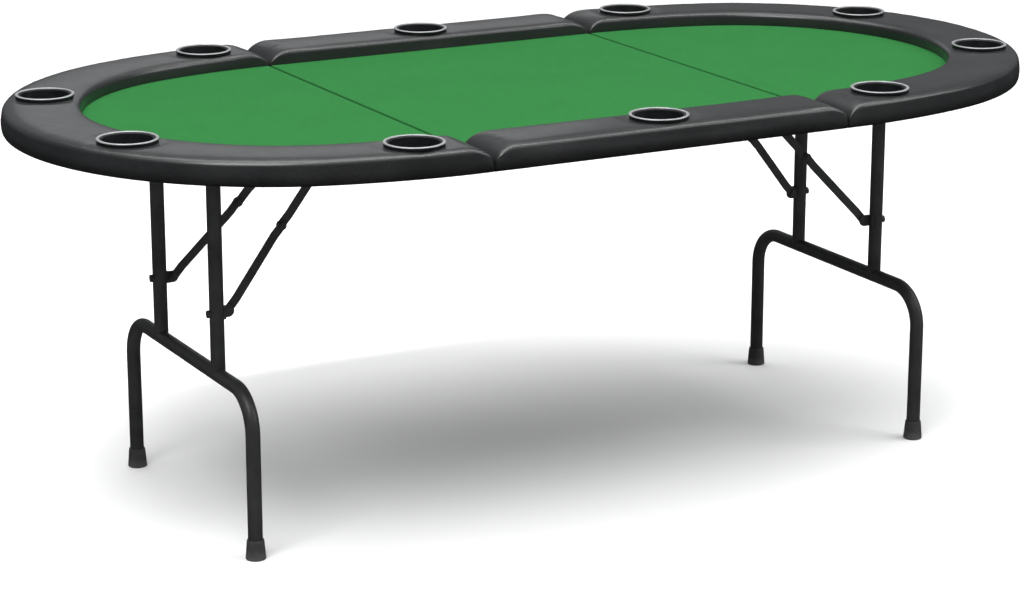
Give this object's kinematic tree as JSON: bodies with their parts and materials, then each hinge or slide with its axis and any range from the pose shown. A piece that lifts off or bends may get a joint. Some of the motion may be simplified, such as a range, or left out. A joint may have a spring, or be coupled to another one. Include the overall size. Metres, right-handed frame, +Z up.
{
  "type": "folding poker table",
  "caption": "Oval folding poker table with a green felt top in hinged panels, a padded black rail with drop-in cup holders, and two braced folding leg frames.",
  "frame": {"origin": "on the floor, under the middle of the table top", "axes": "+X along the length of the table, +Y across it towards the back, +Z up"},
  "size_m": [2.01, 1.06, 0.7571],
  "materials": {
    "panel_board": "black-faced fibreboard panel",
    "felt": "short-pile green speed cloth on thin foam",
    "rail_leather": "black grained faux leather over foam",
    "cup_trim": "satin metal trim ring",
    "cup_plastic": "black moulded plastic",
    "zinc_steel": "zinc-plated steel",
    "rubber": "dark grey rubber",
    "black_steel": "black powder coat on steel"
  },
  "bodies": {
    "centre_panel": {"centre_board": "panel_board", "centre_felt": "felt", "rail_front": "rail_leather", "rail_back": "rail_leather", "left_hinge_fixed_leaves": "zinc_steel", "right_hinge_fixed_leaves": "zinc_steel", "left_hinge_pins": "zinc_steel", "right_hinge_pins": "zinc_steel"},
    "left_panel": {"left_board": "panel_board", "left_felt": "felt", "rail_left": "rail_leather", "left_hinge_moving_leaves": "zinc_steel", "left_pivot_brackets": "black_steel", "left_anchor_brackets": "black_steel"},
    "left_leg": {"left_upright_front": "black_steel", "left_upright_back": "black_steel", "left_foot_bar": "black_steel", "left_foot_caps": "rubber", "left_pivot_rod": "zinc_steel", "left_link_brackets": "black_steel"},
    "right_panel": {"right_board": "panel_board", "right_felt": "felt", "rail_right": "rail_leather", "right_hinge_moving_leaves": "zinc_steel", "right_pivot_brackets": "black_steel", "right_anchor_brackets": "black_steel"},
    "right_leg": {"right_upright_front": "black_steel", "right_upright_back": "black_steel", "right_foot_bar": "black_steel", "right_foot_caps": "rubber", "right_pivot_rod": "zinc_steel", "right_link_brackets": "black_steel"},
    "cup_01_body": {"cup_01": "cup_plastic", "cup_ring_01": "cup_trim"},
    "cup_02_body": {"cup_02": "cup_plastic", "cup_ring_02": "cup_trim"},
    "cup_03_body": {"cup_03": "cup_plastic", "cup_ring_03": "cup_trim"},
    "cup_04_body": {"cup_04": "cup_plastic", "cup_ring_04": "cup_trim"},
    "cup_05_body": {"cup_05": "cup_plastic", "cup_ring_05": "cup_trim"},
    "cup_06_body": {"cup_06": "cup_plastic", "cup_ring_06": "cup_trim"},
    "cup_07_body": {"cup_07": "cup_plastic", "cup_ring_07": "cup_trim"},
    "cup_08_body": {"cup_08": "cup_plastic", "cup_ring_08": "cup_trim"},
    "cup_09_body": {"cup_09": "cup_plastic", "cup_ring_09": "cup_trim"},
    "cup_10_body": {"cup_10": "cup_plastic", "cup_ring_10": "cup_trim"},
    "left_lower_link_front_body": {"left_lower_link_front": "black_steel"},
    "left_upper_link_front_body": {"left_upper_link_front": "black_steel"},
    "left_lower_link_back_body": {"left_lower_link_back": "black_steel"},
    "left_upper_link_back_body": {"left_upper_link_back": "black_steel"},
    "right_lower_link_front_body": {"right_lower_link_front": "black_steel"},
    "right_upper_link_front_body": {"right_upper_link_front": "black_steel"},
    "right_lower_link_back_body": {"right_lower_link_back": "black_steel"},
    "right_upper_link_back_body": {"right_upper_link_back": "black_steel"}
  },
  "joints": [
    {"name": "left_panel_fold", "type": "hinge", "parent": "centre_panel", "child": "left_panel", "pos_m": [-0.355, 0, 0.699], "axis": [0, -1, 0], "range_deg": [0, 90]},
    {"name": "right_panel_fold", "type": "hinge", "parent": "centre_panel", "child": "right_panel", "pos_m": [0.355, 0, 0.699], "axis": [0, -1, 0], "range_deg": [-90, 0]},
    {"name": "left_leg_fold", "type": "hinge", "parent": "left_panel", "child": "left_leg", "pos_m": [-0.7, 0, 0.664], "axis": [0, 1, 0], "range_deg": [-90, 0]},
    {"name": "right_leg_fold", "type": "hinge", "parent": "right_panel", "child": "right_leg", "pos_m": [0.7, 0, 0.664], "axis": [0, 1, 0], "range_deg": [0, 90]},
    {"name": "left_upper_link_front_turn", "type": "hinge", "parent": "left_panel", "child": "left_upper_link_front_body", "pos_m": [-0.426, 0, 0.688], "axis": [0, 1, 0], "range_deg": [0, 48.24]},
    {"name": "left_lower_link_front_turn", "type": "hinge", "parent": "left_leg", "child": "left_lower_link_front_body", "pos_m": [-0.676, 0, 0.408], "axis": [0, 1, 0], "range_deg": [-41.77, 0]},
    {"name": "left_upper_link_back_turn", "type": "hinge", "parent": "left_panel", "child": "left_upper_link_back_body", "pos_m": [-0.426, 0, 0.688], "axis": [0, 1, 0], "range_deg": [0, 48.24]},
    {"name": "left_lower_link_back_turn", "type": "hinge", "parent": "left_leg", "child": "left_lower_link_back_body", "pos_m": [-0.676, 0, 0.408], "axis": [0, 1, 0], "range_deg": [-41.77, 0]},
    {"name": "right_upper_link_front_turn", "type": "hinge", "parent": "right_panel", "child": "right_upper_link_front_body", "pos_m": [0.426, 0, 0.688], "axis": [0, 1, 0], "range_deg": [-48.24, 0]},
    {"name": "right_lower_link_front_turn", "type": "hinge", "parent": "right_leg", "child": "right_lower_link_front_body", "pos_m": [0.676, 0, 0.408], "axis": [0, 1, 0], "range_deg": [0, 41.77]},
    {"name": "right_upper_link_back_turn", "type": "hinge", "parent": "right_panel", "child": "right_upper_link_back_body", "pos_m": [0.426, 0, 0.688], "axis": [0, 1, 0], "range_deg": [-48.24, 0]},
    {"name": "right_lower_link_back_turn", "type": "hinge", "parent": "right_leg", "child": "right_lower_link_back_body", "pos_m": [0.676, 0, 0.408], "axis": [0, 1, 0], "range_deg": [0, 41.77]},
    {"name": "cup_01_lift", "type": "slide", "parent": "centre_panel", "child": "cup_01_body", "axis": [0, 0, 1], "range_m": [0, 0.08]},
    {"name": "cup_02_lift", "type": "slide", "parent": "centre_panel", "child": "cup_02_body", "axis": [0, 0, 1], "range_m": [0, 0.08]},
    {"name": "cup_03_lift", "type": "slide", "parent": "left_panel", "child": "cup_03_body", "axis": [0, 0, 1], "range_m": [0, 0.08]},
    {"name": "cup_04_lift", "type": "slide", "parent": "left_panel", "child": "cup_04_body", "axis": [0, 0, 1], "range_m": [0, 0.08]},
    {"name": "cup_05_lift", "type": "slide", "parent": "right_panel", "child": "cup_05_body", "axis": [0, 0, 1], "range_m": [0, 0.08]},
    {"name": "cup_06_lift", "type": "slide", "parent": "right_panel", "child": "cup_06_body", "axis": [0, 0, 1], "range_m": [0, 0.08]},
    {"name": "cup_07_lift", "type": "slide", "parent": "left_panel", "child": "cup_07_body", "axis": [0, 0, 1], "range_m": [0, 0.08]},
    {"name": "cup_08_lift", "type": "slide", "parent": "left_panel", "child": "cup_08_body", "axis": [0, 0, 1], "range_m": [0, 0.08]},
    {"name": "cup_09_lift", "type": "slide", "parent": "right_panel", "child": "cup_09_body", "axis": [0, 0, 1], "range_m": [0, 0.08]},
    {"name": "cup_10_lift", "type": "slide", "parent": "right_panel", "child": "cup_10_body", "axis": [0, 0, 1], "range_m": [0, 0.08]}
  ],
  "couplings": [
    {"joint": "left_upper_link_front_turn", "follows": "left_leg_fold", "ratio": -0.536},
    {"joint": "left_lower_link_front_turn", "follows": "left_leg_fold", "ratio": 0.464},
    {"joint": "left_upper_link_back_turn", "follows": "left_leg_fold", "ratio": -0.536},
    {"joint": "left_lower_link_back_turn", "follows": "left_leg_fold", "ratio": 0.464},
    {"joint": "right_upper_link_front_turn", "follows": "right_leg_fold", "ratio": -0.536},
    {"joint": "right_lower_link_front_turn", "follows": "right_leg_fold", "ratio": 0.464},
    {"joint": "right_upper_link_back_turn", "follows": "right_leg_fold", "ratio": -0.536},
    {"joint": "right_lower_link_back_turn", "follows": "right_leg_fold", "ratio": 0.464}
  ]
}
